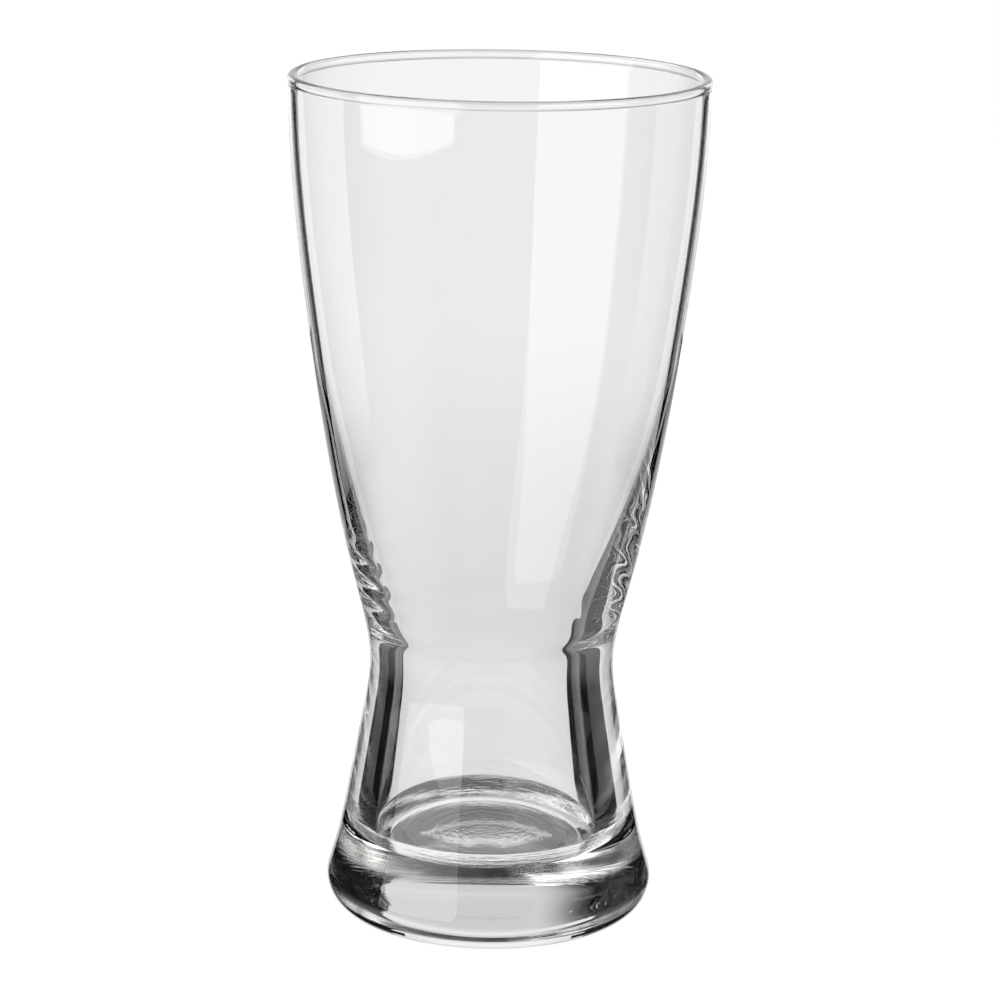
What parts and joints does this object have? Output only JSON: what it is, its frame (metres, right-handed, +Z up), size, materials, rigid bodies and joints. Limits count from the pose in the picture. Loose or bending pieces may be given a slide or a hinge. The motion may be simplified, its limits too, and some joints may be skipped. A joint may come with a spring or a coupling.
{
  "type": "pilsner glass",
  "caption": "Hourglass pilsner glass in clear glass: tall flared bowl with a rounded lip, thick drawn-in waist, and a heavy solid foot with a flat bearing ring; holds a drink.",
  "frame": {"origin": "centre of the plane that the glass stands on", "axes": "+Z up along the axis of the glass, from the foot to the rim; X and Y are alike, because the glass is round"},
  "size_m": [0.0778, 0.0778, 0.16],
  "materials": {
    "clear_glass": "fire-polished clear soda-lime glass"
  },
  "bodies": {
    "root": {"rim_bead": "clear_glass", "bowl_wall": "clear_glass", "waist_collar": "clear_glass", "shank_wall": "clear_glass", "sham_base": "clear_glass", "bearing_foot": "clear_glass"}
  },
  "joints": []
}
